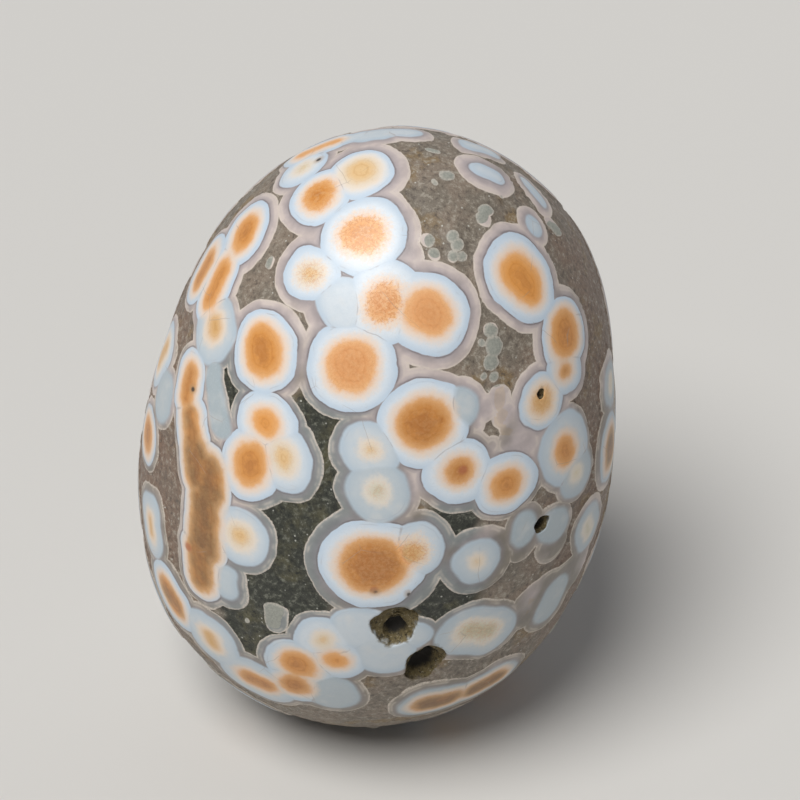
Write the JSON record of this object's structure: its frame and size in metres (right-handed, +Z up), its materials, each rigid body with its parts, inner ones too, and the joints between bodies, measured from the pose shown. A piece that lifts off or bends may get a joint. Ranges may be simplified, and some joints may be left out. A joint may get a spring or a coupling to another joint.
{
  "type": "eye agate pebble",
  "caption": "Egg-shaped eye agate pebble with ringed orange and white eyes in a brown-grey ground, worn smooth, with open pits and a small flat foot.",
  "frame": {"origin": "on the flat foot's plane, under the middle of the stone's box", "axes": "+Z up along the stone's long axis, -Y towards the face with the open pits"},
  "size_m": [0.0456, 0.0438, 0.0617],
  "materials": {
    "agate": "water-worn and waxy, softly polished: ringed eyes with orange-brown cores and bluish-white bands in grey-mauve halos, on a grained brown-grey ground"
  },
  "bodies": {
    "root": {"stone": "agate"}
  },
  "joints": []
}
